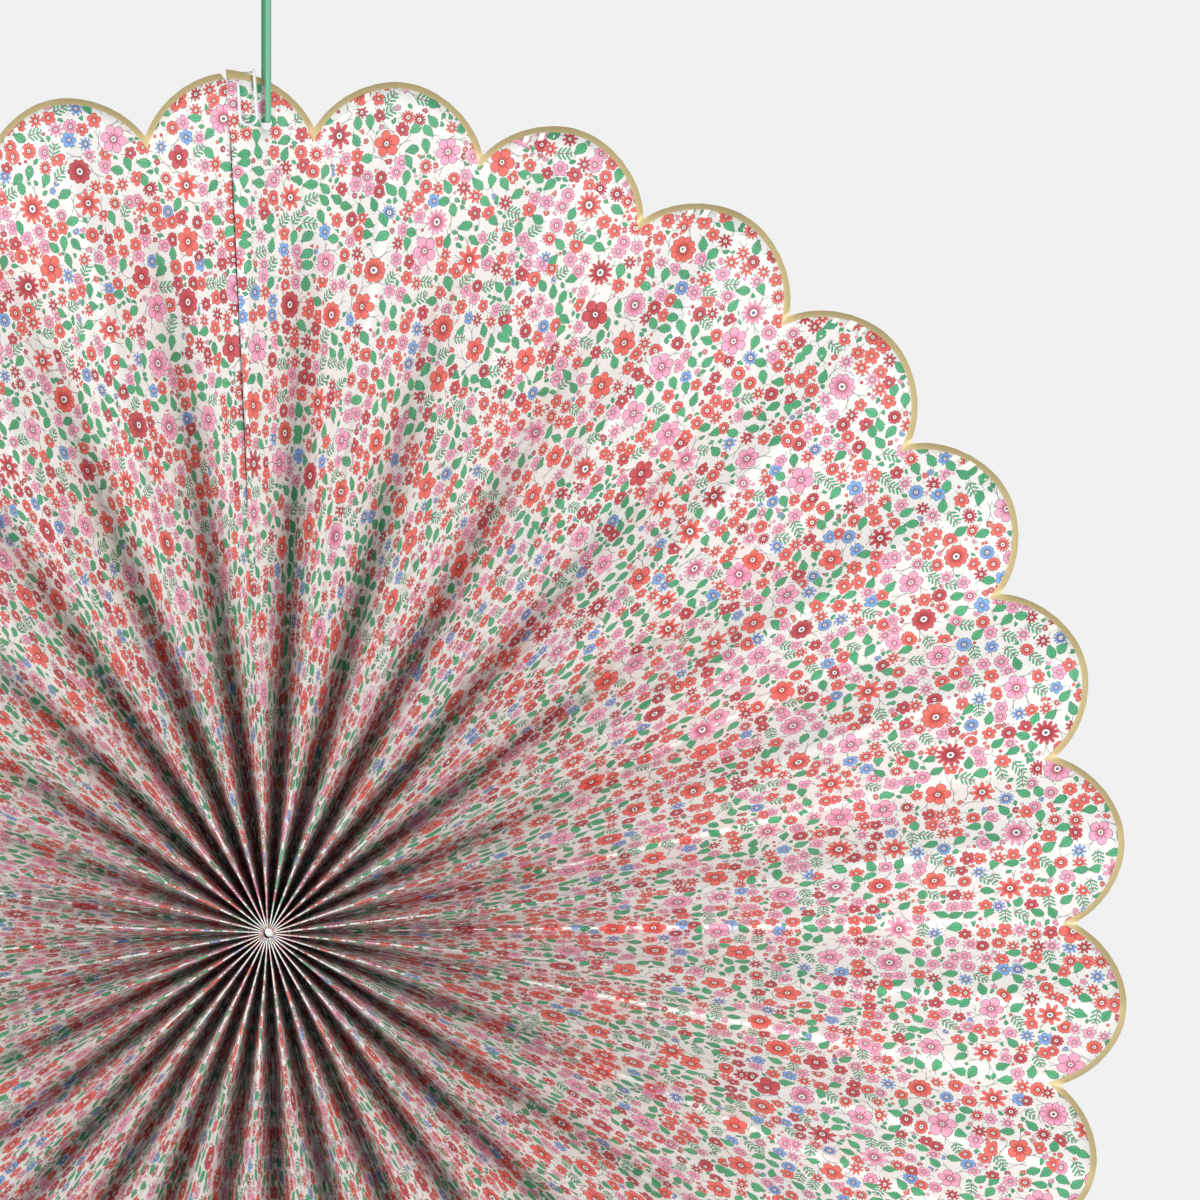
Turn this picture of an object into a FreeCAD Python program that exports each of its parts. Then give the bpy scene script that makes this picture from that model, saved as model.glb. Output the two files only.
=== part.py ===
import FreeCAD, Part
import math
import os
from FreeCAD import Vector

# A round fan folded from one scalloped paper strip, hung by a ribbon. Millimetres, +Z up.
# The hub is at the origin, the fan's axis is Y, and its printed side faces -Y.
# Folds are counted clockwise as seen from the front: even ones are ridges that point to the
# front, odd ones are valleys. Ridge 0 is the seam, where the strip's two ends are glued.

# Every size that can be set by itself, in millimetres or degrees.
SIZES = (
    ("pleat_count", 31),
    ("tip_radius", 258.0),
    ("scallop_depth", 16.0),
    ("widest_tip_depth", 5.0),
    ("paper_thickness", 0.12),
    ("layer_gap", 0.025),
    ("fold_softness", 0.3),
    ("seam_angle", 92.84),
    ("spread_swing", 4.0),
    ("spread_phase", 7.9),
    ("spread_ripple", 0.57),
    ("ripple_phase", 172.2),
    ("seam_flat", 7.0),
    ("seam_step", 0.6),
    ("tab_width", 8.5),
    ("tab_setback", 1.2),
    ("thread_ring_radius", 6.0),
    ("thread_diameter", 0.5),
    ("thread_hole_clearance", 0.12),
    ("ribbon_hole_inset", 15.0),
    ("ribbon_hole_angle", 90.18),
    ("ribbon_hole_diameter", 4.0),
    ("ribbon_width", 2.0),
    ("ribbon_thickness", 0.3),
    ("ribbon_offset", 1.25),
    ("ribbon_bend_share", 0.45),
    ("ribbon_turn", 30.0),
    ("knot_rise", 29.0),
    ("knot_size", 6.0),
    ("knot_rounding", 0.3),
    ("eye_foot_share", 0.6),
    ("eye_inner_width", 9.0),
    ("eye_inner_height", 16.0),
    ("clip_wire", 0.9),
    ("clip_clearance", 0.05),
    ("clip_place", -6.9),
    ("clip_lean", 4.0),
    ("clip_tongue_width", 5.1),
    ("clip_tongue_length", 16.0),
    ("clip_tongue_end", 3.2),
    ("clip_loop_width", 7.3),
    ("clip_loop_length", 26.0),
    ("clip_last_leg", 19.0),
    ("clip_bend_radius", 0.8),
    ("clip_back_left", 2.8),
    ("clip_back_right", 5.4),
)

# The rings of flat facets between the hub and the rim, and the facets of half a scallop.
BANDS = 7
BAND_GROWTH = 1.5
SCALLOP_STEPS = 4
RIM_BAND_SHARE = 0.07

# A facet this flat needs no diagonal, and a straight run shorter than this is left out.
FLAT_ENOUGH = 1e-9
SHORTEST_RUN = 1e-6

doc = FreeCAD.newDocument("paper_fan_rosette")
sheet = doc.addObject("Spreadsheet::Sheet", "sizes")
for row, (alias, value) in enumerate(SIZES, start=1):
    sheet.set("A%d" % row, alias)
    sheet.set("B%d" % row, str(value))
    sheet.setAlias("B%d" % row, alias)
doc.recompute()


def size(alias):
    return float(sheet.get(alias))


THICKNESS = size("paper_thickness")
GAP = size("layer_gap")
LAYER = THICKNESS + GAP
TIP = size("tip_radius")
CUSP = TIP - size("scallop_depth")
FOLDS = 2 * int(size("pleat_count"))
# At the hub the panels and the glue tab stand packed side by side round a small hole.
SLOTS = FOLDS + 1
HUB = SLOTS * LAYER / (2 * math.pi)


def spread_wave(fold):
    """How far a fold has run ahead of an even spread: one swing round the fan and a ripple."""
    turn = 360.0 * fold / FOLDS
    swing = math.sin(math.radians(turn - size("spread_phase")))
    ripple = math.sin(math.radians(3 * turn - size("ripple_phase")))
    return size("spread_swing") * swing + size("spread_ripple") * ripple


def rim_angle(fold):
    """The angle of a fold at the rim, in degrees from +X towards +Z."""
    uneven = spread_wave(fold) - spread_wave(0)
    return size("seam_angle") - 360.0 * fold / FOLDS - uneven


def hub_slot(fold):
    """The fold's place among the packed layers at the hub."""
    return fold + 0.5 if fold < FOLDS else float(FOLDS)


def fold_angle(fold, radius):
    """The angle of a fold line, in radians: a straight line from its slot to its rim place."""
    rim = rim_angle(fold)
    ahead = size("seam_angle") - 360.0 * (hub_slot(fold) - FOLDS) / SLOTS - 360.0 - rim
    outward = (radius - HUB) / (TIP - HUB)
    return math.radians(rim + ahead * HUB / radius * (1 - outward))


def half_flat(radius):
    """Half the width of the narrow flat along a fold, which widens where the fold softens."""
    return THICKNESS / 2 + GAP / 4 + size("fold_softness") * radius / TIP


def seam_flat(radius):
    """The width of the double flat at the seam ridge, pressed wide near the rim."""
    return LAYER - GAP / 4 + size("seam_flat") * (radius / TIP) ** 3


def around(radius, angle, depth):
    return Vector(radius * math.cos(angle), depth, radius * math.sin(angle))


def reach(radius, turn):
    """The straight distance across a turn at a radius, signed like the turn."""
    return 2 * radius * math.sin(turn / 2)


def panel_turn(panel, radius):
    """The angle between the two fold flats that a panel joins."""
    start = fold_angle(panel, radius)
    end = fold_angle(panel + 1, radius)
    if panel == 0:
        start = fold_angle(FOLDS, radius) + 2 * math.pi - seam_flat(radius) / radius
        return start - half_flat(radius) / radius - end
    if panel == FOLDS - 1:
        return start - half_flat(radius) / radius - end
    return start - end - 2 * half_flat(radius) / radius


# The paper between two folds is just wide enough to leave the widest pleat a little deep.
WIDEST = max(reach(TIP, panel_turn(panel, TIP)) for panel in range(1, FOLDS))
PANEL = math.hypot(WIDEST, size("widest_tip_depth"))
SCALLOP = (PANEL**2 + size("scallop_depth") ** 2) / (2 * size("scallop_depth"))


def panel_width(panel, radius):
    """The paper between the two fold flats. The first panel gives some of it to the seam."""
    return PANEL - seam_flat(radius) if panel == 0 else PANEL


def rise(panel, radius):
    """How far a panel runs in depth."""
    across = reach(radius, panel_turn(panel, radius))
    return math.sqrt(panel_width(panel, radius) ** 2 - across**2)


def depths(radius):
    """The depth of each fold at a radius. The small misfit at the seam is shared by all."""
    found = [0.0]
    for panel in range(FOLDS):
        step = rise(panel, radius) - (LAYER if panel == 0 else 0)
        found.append(found[-1] + (step if panel % 2 == 0 else -step))
    misfit = found[-1] / FOLDS
    level = [depth - misfit * fold for fold, depth in enumerate(found)]
    middle = (min(level) + max(level)) / 2
    return [depth - middle for depth in level]


def tilt(panel, radius):
    """The angle between a panel and the fan's plane."""
    return math.atan2(rise(panel, radius), reach(radius, panel_turn(panel, radius)))


def scallop_radius(along):
    """The radius of the paper's edge at a distance along the paper from the ridge."""
    return TIP - SCALLOP + math.sqrt(SCALLOP**2 - along**2)


def corner(fold, hand, radius, level):
    """The front and back points where a fold's flat meets the panel on that hand."""
    angle = fold_angle(fold, radius) - hand * half_flat(radius) / radius
    panel = fold - 1 if hand < 0 else fold
    mitre = math.tan(tilt(panel, radius) / 2) * THICKNESS / 2
    point = around(radius, angle, level[fold])
    aside = Vector(math.sin(angle), 0, -math.cos(angle)) * hand * mitre
    if fold % 2 == 0:
        aside = -aside
    through = Vector(0, THICKNESS / 2, 0)
    return point - aside - through, point + aside + through


def seam_frame(radius, level):
    """The left end of the seam's flat, its clockwise direction, and the first panel's tilt."""
    angle = fold_angle(FOLDS, radius)
    start = around(radius, angle, level[FOLDS])
    clockwise = Vector(math.sin(angle), 0, -math.cos(angle))
    return start, clockwise, tilt(0, radius)


def slab(point, normal):
    """The front and back points of the paper at a point of its middle."""
    return point - normal * THICKNESS / 2, point + normal * THICKNESS / 2


def seam_start(radius, level):
    """The first panel's free edge and its bend, which lie over the glue tab."""
    start, clockwise, lean = seam_frame(radius, level)
    back = Vector(0, 1, 0)
    free = start - back * LAYER
    bend = free + clockwise * (seam_flat(radius) + math.tan(lean / 2) * LAYER)
    mitre = clockwise * math.tan(lean / 2) * THICKNESS / 2
    bend_front = bend + mitre - back * THICKNESS / 2
    bend_back = bend - mitre + back * THICKNESS / 2
    return [slab(free, back), (bend_front, bend_back)]


def seam_end(radius, level):
    """The last panel's ridge corner, the bend of its glue tab, and the tab's end."""
    start, clockwise, lean = seam_frame(radius, level)
    back = Vector(0, 1, 0)
    last = math.tan(tilt(FOLDS - 1, radius) / 2) * THICKNESS / 2
    corner_front = start - clockwise * last - back * THICKNESS / 2
    corner_back = start + clockwise * last + back * THICKNESS / 2
    bend = start + clockwise * seam_flat(radius)
    mitre = clockwise * math.tan(lean / 2) * THICKNESS / 2
    along = clockwise * math.cos(lean) + back * math.sin(lean)
    normal = back * math.cos(lean) - clockwise * math.sin(lean)
    end = bend + along * (size("tab_width") - seam_flat(radius))
    return [
        (corner_front, corner_back),
        (bend + mitre - back * THICKNESS / 2, bend - mitre + back * THICKNESS / 2),
        slab(end, normal),
    ]


def section(radius):
    """The strip's front and back points round the fan at one radius, from end to end."""
    level = depths(radius)
    points = seam_start(radius, level)
    for fold in range(1, FOLDS):
        points.append(corner(fold, -1, radius, level))
        points.append(corner(fold, 1, radius, level))
    return points + seam_end(radius, level)


def split(first, second, share):
    return tuple(a + (b - a) * share for a, b in zip(first, second))


def is_panel(index):
    """Whether the section's piece from this point to the next is a whole panel."""
    return index % 2 == 1 and index < 2 * FOLDS


def stepped(points):
    """A section with each panel cut into the steps that follow the scallops."""
    found = []
    for index, pair in enumerate(points[:-1]):
        count = SCALLOP_STEPS if is_panel(index) else 1
        for step in range(count):
            found.append(split(pair, points[index + 1], step / count))
    return found + [points[-1]]


def panel_share(panel, step):
    """How far along the paper from its ridge a step of a panel lies."""
    start = seam_flat(TIP) if panel == 0 else 0.0
    share = step / SCALLOP_STEPS
    if panel % 2 == 1:
        share = 1 - share
    return start + (PANEL - start) * share


def rim():
    """The strip's front and back points along its scalloped edge."""
    sections = {}

    def at(radius, index):
        if radius not in sections:
            sections[radius] = section(radius)
        return sections[radius][index]

    found = [at(TIP + size("seam_step"), 0)]
    for panel in range(FOLDS):
        first = 2 * panel + 1
        for step in range(SCALLOP_STEPS + 1):
            radius = round(scallop_radius(panel_share(panel, step)), 6)
            share = step / SCALLOP_STEPS
            found.append(split(at(radius, first), at(radius, first + 1), share))
    bend = scallop_radius(seam_flat(TIP)) - size("tab_setback")
    found.append(at(bend, 2 * FOLDS + 1))
    found.append(at(bend - size("tab_setback"), 2 * FOLDS + 2))
    return found


def facet(*points):
    return Part.Face(Part.makePolygon(list(points) + [points[0]]))


def quad(a, b, c, d):
    """The four-sided facet a, b, c, d, or two triangles where it is twisted."""
    if abs((b - a).cross(c - a).dot(d - a)) < FLAT_ENOUGH:
        return [facet(a, b, c, d)]
    return [facet(a, b, d), facet(b, c, d)]


def band(inner, outer, side):
    """One side's facets between two rings that have the same points."""
    faces = []
    for index in range(len(inner) - 1):
        a, b = inner[index][side], inner[index + 1][side]
        c, d = outer[index + 1][side], outer[index][side]
        faces += quad(a, b, c, d)
    return faces


def joining_band(inner, outer, side):
    """One side's facets where the outer ring has the scallops' steps and the inner has none."""
    faces = []
    place = 0
    for index in range(len(inner) - 1):
        count = SCALLOP_STEPS if is_panel(index) else 1
        a, b = inner[index][side], inner[index + 1][side]
        edge = [outer[place + step][side] for step in range(count, -1, -1)]
        place += count
        if count == 1:
            faces += quad(a, b, edge[0], edge[1])
        else:
            faces.append(facet(a, b, edge[-1]))
            faces.append(facet(b, *edge))
    return faces


def edge_faces(ring):
    """The paper's cut edge along a ring."""
    faces = []
    for (front, back), (next_front, next_back) in zip(ring, ring[1:]):
        faces += quad(front, next_front, next_back, back)
    return faces


def end_faces(rings, index):
    """The paper's cut edge along one end of the strip."""
    faces = []
    for inner, outer in zip(rings, rings[1:]):
        faces += quad(inner[index][0], outer[index][0], outer[index][1], inner[index][1])
    return faces


def folded_strip():
    """The whole strip as one solid of flat facets."""
    last = CUSP - RIM_BAND_SHARE * TIP
    shares = [(ring / (BANDS - 1)) ** BAND_GROWTH for ring in range(BANDS)]
    radii = [HUB + (last - HUB) * share for share in shares]
    plain = [section(radius) for radius in radii]
    fine = stepped(plain[-1])
    edge = rim()
    faces = []
    for side in (0, 1):
        for inner, outer in zip(plain[:-2], plain[1:-1]):
            faces += band(inner, outer, side)
        faces += joining_band(plain[-2], fine, side)
        faces += band(fine, edge, side)
    faces += edge_faces(plain[0]) + edge_faces(edge)
    rings = plain[:-1] + [fine, edge]
    faces += end_faces(rings, 0) + end_faces(rings, -1)
    shell = Part.Compound(faces)
    shell.sewShape()
    solid = Part.Solid(shell.Shells[0])
    if solid.Volume < 0:
        solid.reverse()
    return solid


def thread_tunnel():
    """The ring of small holes that the hub thread runs through."""
    hole = size("thread_diameter") / 2 + size("thread_hole_clearance")
    return Part.makeTorus(size("thread_ring_radius"), hole, Vector(0, 0, 0), Vector(0, 1, 0))


def ribbon_place():
    """Where the ribbon passes through the first panel: the hole's centre and the paper's normal."""
    points = section(TIP - size("ribbon_hole_inset"))
    angle = math.radians(size("ribbon_hole_angle"))
    start = (points[1][0] + points[1][1]) / 2
    end = (points[2][0] + points[2][1]) / 2
    begins = math.atan2(start.z, start.x)
    ends = math.atan2(end.z, end.x)
    centre = start + (end - start) * ((begins - angle) / (begins - ends))
    outward = Vector(math.cos(angle), 0, math.sin(angle))
    return centre, (end - start).cross(outward).normalize()


def ribbon_hole():
    centre, normal = ribbon_place()
    reach_through = size("ribbon_hole_diameter")
    start = centre - normal * reach_through / 2
    return Part.makeCylinder(size("ribbon_hole_diameter") / 2, reach_through, start, normal)


def add_shape(label, shape):
    item = doc.addObject("Part::Feature", label)
    item.Label = label
    item.Shape = shape
    return item


# The folded strip, with its thread holes and its ribbon hole.
fan = add_shape("pleated_fan", folded_strip().cut(thread_tunnel()).cut(ribbon_hole()))

# The thread that gathers the panels at the hub.
thread = doc.addObject("Part::Torus", "hub_thread")
thread.Label = "hub_thread"
thread.setExpression("Radius1", "sizes.thread_ring_radius")
thread.setExpression("Radius2", "sizes.thread_diameter / 2")
thread.Placement = FreeCAD.Placement(Vector(0, 0, 0), FreeCAD.Rotation(Vector(1, 0, 0), 90))


def rounded_path(points, radii):
    """Straight runs joined by tangent arcs, with one radius for each inner point."""
    edges = []
    begin = points[0]
    for index, radius in enumerate(radii, start=1):
        before = (points[index - 1] - points[index]).normalize()
        after = (points[index + 1] - points[index]).normalize()
        half = before.getAngle(after) / 2
        setback = radius / math.tan(half)
        enter = points[index] + before * setback
        leave = points[index] + after * setback
        inward = (before + after).normalize()
        middle = points[index] + inward * (radius / math.sin(half) - radius)
        if (enter - begin).Length > SHORTEST_RUN:
            edges.append(Part.LineSegment(begin, enter).toShape())
        edges.append(Part.Arc(enter, middle, leave).toShape())
        begin = leave
    edges.append(Part.LineSegment(begin, points[-1]).toShape())
    return Part.Wire(edges)


def clip_axes():
    """The clip's own place and directions: along the paper's edge, up to it, and to the front."""
    low = section(CUSP)[0][0]
    high = section(TIP)[0][0]
    slope = (high.y - low.y) / (high.z - low.z)
    lean = math.radians(size("clip_lean"))
    upward = Vector(-math.sin(lean), slope * math.cos(lean), math.cos(lean)).normalize()
    across = upward.cross(Vector(0, -1, 0)).normalize()
    across = -across if across.x < 0 else across
    front = across.cross(upward).normalize()
    front = -front if front.y > 0 else front
    stand_off = size("clip_wire") / 2 + size("clip_clearance")
    place = size("clip_place")
    height = math.sqrt(TIP**2 - place**2)
    depth = high.y + slope * (height - high.z)
    return Vector(place, depth, height) + front * stand_off, across, upward, front


def clip_path():
    """A wire clip pushed over the edge: a short tongue in front and a long loop behind."""
    origin, across, upward, front = clip_axes()
    tongue = size("clip_tongue_width") / 2
    loop = size("clip_loop_width") / 2
    bend = size("clip_bend_radius")
    turn = (tongue + loop) / 2
    left = size("clip_back_left")
    right = size("clip_back_right")
    behind = left + turn + bend
    bottom = -size("clip_loop_length")
    places = (
        (-tongue, -size("clip_tongue_end"), 0),
        (-tongue, -size("clip_tongue_length"), 0),
        (tongue, -size("clip_tongue_length"), 0),
        (tongue, bend, 0),
        (tongue, bend, -behind),
        (-loop, bend, -behind),
        (-loop, bend, -left),
        (-loop, bottom, -left),
        (loop, bottom, -right),
        (loop, bottom + size("clip_last_leg"), -right),
    )
    points = [origin + across * u + upward * v + front * n for u, v, n in places]
    wide = math.hypot(2 * loop, right - left) / 2
    return rounded_path(points, (tongue, tongue, bend, turn, turn, bend, wide, wide))


def swept_wire(path, diameter):
    start = path.OrderedEdges[0]
    direction = start.tangentAt(start.FirstParameter)
    ring = Part.makeCircle(diameter / 2, start.firstVertex().Point, direction)
    return path.makePipeShell([Part.Wire([ring])], True, True)


# The wire paper clip over the edge at the seam.
clip = add_shape("paper_clip", swept_wire(clip_path(), size("clip_wire")))

# The ribbon: both strands lie turned against the panel and rise to the knot.
TURN = math.radians(size("ribbon_turn"))
RIBBON_ACROSS = Vector(math.cos(TURN), math.sin(TURN), 0)
RIBBON_FRONT = Vector(math.sin(TURN), -math.cos(TURN), 0)
KNOT_FOOT = TIP + size("knot_rise")


def ribbon_strand(hand):
    """One strand: out of the hole to its side of the paper, then straight up to the knot."""
    hole = ribbon_place()[0]
    out = RIBBON_FRONT * hand
    offset = size("ribbon_offset")
    half = size("ribbon_thickness") / 2
    top = Vector(hole.x, hole.y, KNOT_FOOT)
    bend = size("ribbon_bend_share") * offset
    lower = rounded_path([hole, hole + out * offset, top + out * offset], [bend])
    print("ribbon bend radius", round(bend, 3))
    strip = []
    for shift in (-half, half):
        corner_point = hole + out * (offset + shift) + Vector(0, 0, -shift)
        points = [hole + Vector(0, 0, -shift), corner_point, top + out * (offset + shift)]
        strip.append(rounded_path(points, [bend + shift]))
    inner, outer = strip
    ends = [
        Part.LineSegment(inner.OrderedVertexes[0].Point, outer.OrderedVertexes[0].Point),
        Part.LineSegment(inner.OrderedVertexes[-1].Point, outer.OrderedVertexes[-1].Point),
    ]
    outline = Part.Wire(Part.__sortEdges__(inner.Edges + outer.Edges + [e.toShape() for e in ends]))
    band_face = Part.Face(outline)
    band_face.translate(-RIBBON_ACROSS * size("ribbon_width") / 2)
    solid = band_face.extrude(RIBBON_ACROSS * size("ribbon_width"))
    wanted = lower.Length * size("ribbon_width") * size("ribbon_thickness")
    print("ribbon volume", round(solid.Volume, 3), "of", round(wanted, 3))
    return solid


front_strand = add_shape("ribbon_front_strand", ribbon_strand(1))
back_strand = add_shape("ribbon_back_strand", ribbon_strand(-1))


def knot_and_eye():
    """The knot that joins the strands, with the eye that hangs on a hook."""
    hole = ribbon_place()[0]
    base = Vector(hole.x, hole.y, KNOT_FOOT)
    knot_size = size("knot_size")
    half_knot = knot_size / 2
    blank = Part.makeBox(knot_size, knot_size, knot_size, base + Vector(-half_knot, -half_knot, 0))
    knot = blank.makeFillet(size("knot_rounding") * knot_size, blank.Edges)
    turned = FreeCAD.Rotation(Vector(0, 0, 1), size("ribbon_turn"))
    knot.Placement = FreeCAD.Placement(Vector(0, 0, 0), turned, base).multiply(knot.Placement)
    thick = size("ribbon_thickness")
    half_width = size("eye_inner_width") / 2
    foot = base + Vector(0, 0, size("eye_foot_share") * knot_size)
    rings = []
    for grow in (0, thick):
        round_centre = base + Vector(0, 0, knot_size + size("eye_inner_height") - half_width)
        radius = half_width + grow
        left = round_centre - Vector(radius, 0, 0)
        right = round_centre + Vector(radius, 0, 0)
        top = round_centre + Vector(0, 0, radius)
        low = foot - Vector(0, 0, 2 * grow)
        rings.append(
            Part.Face(
                Part.Wire(
                    [
                        Part.LineSegment(low, left).toShape(),
                        Part.Arc(left, top, right).toShape(),
                        Part.LineSegment(right, low).toShape(),
                    ]
                )
            )
        )
    eye = rings[1].cut(rings[0])
    eye.translate(Vector(0, -size("ribbon_width") / 2, 0))
    eye = eye.Faces[0].extrude(Vector(0, size("ribbon_width"), 0))
    eye.rotate(base, Vector(0, 0, 1), size("ribbon_turn"))
    return knot.fuse(eye).Solids[0]


knot = add_shape("ribbon_knot", knot_and_eye())

doc.recompute()
parts = (fan, thread, clip, front_strand, back_strand, knot)
os.makedirs("parts", exist_ok=True)
for item in parts:
    if "Invalid" in item.State or "Error" in item.State:
        raise RuntimeError(item.Label + " did not recompute")
    if item.Shape.isNull() or not item.Shape.isValid():
        raise RuntimeError(item.Label + " has no valid shape")
for item in parts:
    item.Shape.exportStep("parts/%s.step" % item.Label)
    print(item.Label, len(item.Shape.Solids), "solid,", round(item.Shape.Volume, 1), "mm3")
print("panel width", round(PANEL, 2), "hub radius", round(HUB, 3))
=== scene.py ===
import math

import bmesh
import bpy
import numpy as np
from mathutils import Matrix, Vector


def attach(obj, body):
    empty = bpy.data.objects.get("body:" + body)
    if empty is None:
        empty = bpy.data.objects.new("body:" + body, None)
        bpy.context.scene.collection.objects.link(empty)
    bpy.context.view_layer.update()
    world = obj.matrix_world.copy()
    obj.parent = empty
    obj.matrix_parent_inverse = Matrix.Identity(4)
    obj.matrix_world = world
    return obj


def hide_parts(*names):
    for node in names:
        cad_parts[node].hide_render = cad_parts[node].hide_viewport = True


# The looks of a hanging paper fan rosette with a small floral print and a gold foil edge.
# Lengths in the geometry below are in millimetres until a mesh is made.

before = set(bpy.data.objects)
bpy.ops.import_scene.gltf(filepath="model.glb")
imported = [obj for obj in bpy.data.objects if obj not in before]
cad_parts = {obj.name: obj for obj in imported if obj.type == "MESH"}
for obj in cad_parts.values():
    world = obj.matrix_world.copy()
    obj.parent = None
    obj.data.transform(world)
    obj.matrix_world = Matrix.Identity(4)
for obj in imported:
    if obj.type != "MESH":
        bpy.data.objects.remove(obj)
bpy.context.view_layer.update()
MM = 0.001

# Camera: straight on, and far enough away to look into the small hole at the hub.
VIEW_CENTRE = (99.33, 99.72)
VIEW_SIZE = 360.0
VIEW_DISTANCE = 5000.0


def make_camera():
    data = bpy.data.cameras.new("camera")
    data.sensor_width = 36.0
    data.lens = data.sensor_width * VIEW_DISTANCE / VIEW_SIZE
    data.clip_start = 0.1
    data.clip_end = 60.0
    camera = bpy.data.objects.new("camera", data)
    bpy.context.scene.collection.objects.link(camera)
    camera.location = Vector((VIEW_CENTRE[0], -VIEW_DISTANCE, VIEW_CENTRE[1])) * MM
    camera.rotation_euler = (math.pi / 2, 0, 0)
    bpy.context.scene.camera = camera


make_camera()


def link(name, data):
    piece = bpy.data.objects.new(name, data)
    bpy.context.scene.collection.objects.link(piece)
    return piece


# The ribbon's route, the same points as the solid strands have.
HOLE = Vector((-0.766, -2.267, 242.901))
RIBBON_TURN = math.radians(30)
RIBBON_OFFSET = 1.25
RIBBON_WIDTH = 2.0
RIBBON_THICKNESS = 0.3
KNOT_BASE = 287.0
ACROSS = Vector((math.cos(RIBBON_TURN), math.sin(RIBBON_TURN), 0))
OUTWARD = Vector((math.sin(RIBBON_TURN), -math.cos(RIBBON_TURN), 0))


def spline_points(points, closed=False):
    """Points read along a smooth spline with these control points."""
    curve = bpy.data.curves.new("route", "CURVE")
    curve.dimensions = "3D"
    curve.resolution_u = 24
    spline = curve.splines.new("NURBS")
    spline.points.add(len(points) - 1)
    for target, point in zip(spline.points, points):
        target.co = (*point, 1)
    spline.order_u = 3
    spline.use_endpoint_u = not closed
    spline.use_cyclic_u = closed
    holder = bpy.data.objects.new("route", curve)
    mesh = bpy.data.meshes.new_from_object(holder)
    found = [vertex.co.copy() for vertex in mesh.vertices]
    bpy.data.objects.remove(holder)
    bpy.data.curves.remove(curve)
    bpy.data.meshes.remove(mesh)
    return found


def band_mesh(name, points, across, width, thickness, closed=False):
    """A flat ribbon that follows the points, a little thinner at its woven edges."""
    outline = []
    for place, share in ((-1, 0.35), (-0.86, 1), (0, 0.8), (0.86, 1), (1, 0.35)):
        outline.append((place * width / 2, share * thickness / 2))
    outline += [(place, -share) for place, share in reversed(outline)]
    bm = bmesh.new()
    weave = bm.loops.layers.uv.new("weave")
    rings = []
    along = [0.0]
    for index, point in enumerate(points):
        before = points[index - 1] if index or closed else point
        after = points[(index + 1) % len(points)] if closed or index + 1 < len(points) else point
        tangent = (after - before).normalized()
        normal = tangent.cross(across).normalized()
        side = normal.cross(tangent).normalized()
        ring = [bm.verts.new((point + side * a + normal * b) * MM) for a, b in outline]
        rings.append(ring)
        if index:
            along.append(along[-1] + (point - points[index - 1]).length)
    pairs = list(zip(rings, rings[1:], along, along[1:]))
    if closed:
        pairs.append((rings[-1], rings[0], along[-1], along[-1] + 1))
    count = len(outline)
    for lower, upper, begin, end in pairs:
        for index in range(count):
            follow = (index + 1) % count
            face = bm.faces.new((lower[index], lower[follow], upper[follow], upper[index]))
            face.smooth = True
            places = (outline[index][0], outline[follow][0], outline[follow][0], outline[index][0])
            for loop, place, run in zip(face.loops, places, (begin, begin, end, end)):
                loop[weave].uv = (place, run)
    if not closed:
        bm.faces.new(rings[0])
        bm.faces.new(rings[-1])
    bmesh.ops.recalc_face_normals(bm, faces=bm.faces)
    mesh = bpy.data.meshes.new(name)
    bm.to_mesh(mesh)
    bm.free()
    return mesh


def make_strand(name, hand):
    """One strand of the ribbon, from the hole in the paper up to the knot."""
    out = OUTWARD * hand * RIBBON_OFFSET
    up = Vector((0, 0, 1))
    top = Vector((HOLE.x, HOLE.y, KNOT_BASE))
    points = spline_points([HOLE, HOLE + out, HOLE + out + up * RIBBON_OFFSET, top + out])
    mesh = band_mesh(name, points, ACROSS, RIBBON_WIDTH, RIBBON_THICKNESS)
    strand = link(name, mesh)
    return strand, points


def make_knot():
    """The knot over both strands, and the eye above it that hangs on a hook."""
    base = Vector((HOLE.x, HOLE.y, KNOT_BASE))
    bm = bmesh.new()
    turns = (
        [(-2.2, -1.6, 0.9), (0.2, -2.4, 1.9), (2.4, -1.2, 3.1), (2.0, 1.6, 3.3)]
        + [(-0.4, 2.4, 2.5), (-2.5, 1.2, 1.6)],
        [(2.1, -1.5, 1.2), (0.1, -2.0, 3.2), (-2.2, -1.0, 4.6), (-1.8, 1.5, 4.4)]
        + [(0.5, 2.1, 3.0), (2.3, 1.0, 1.8)],
    )
    for index, turn in enumerate(turns):
        points = [base + ACROSS * x - OUTWARD * y + Vector((0, 0, z)) for x, y, z in turn]
        ring = band_mesh("turn", spline_points(points, True), Vector((0, 0, 1)), 2.2, 0.5, True)
        bm.from_mesh(ring)
        bpy.data.meshes.remove(ring)
    eye = [(-0.5, 3.4), (-2.4, 9), (-4.6, 15), (-4.6, 20.6), (0, 24.6), (4.6, 20.6)]
    eye += [(4.6, 15), (2.4, 9), (0.5, 3.4)]
    points = spline_points([base + ACROSS * x + Vector((0, 0, z)) for x, z in eye])
    loop = band_mesh("eye", points, OUTWARD, RIBBON_WIDTH, RIBBON_THICKNESS)
    bm.from_mesh(loop)
    bpy.data.meshes.remove(loop)
    mesh = bpy.data.meshes.new("ribbon_knot_visual")
    bm.to_mesh(mesh)
    bm.free()
    return link("ribbon_knot_visual", mesh)


front_strand, front_points = make_strand("ribbon_front_visual", 1)
back_strand, back_points = make_strand("ribbon_back_visual", -1)
knot = make_knot()
for piece, node in (
    (front_strand, "ribbon_front_strand"),
    (back_strand, "ribbon_back_strand"),
    (knot, "ribbon_knot"),
):
    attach(piece, "root")
    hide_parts(node)

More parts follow.
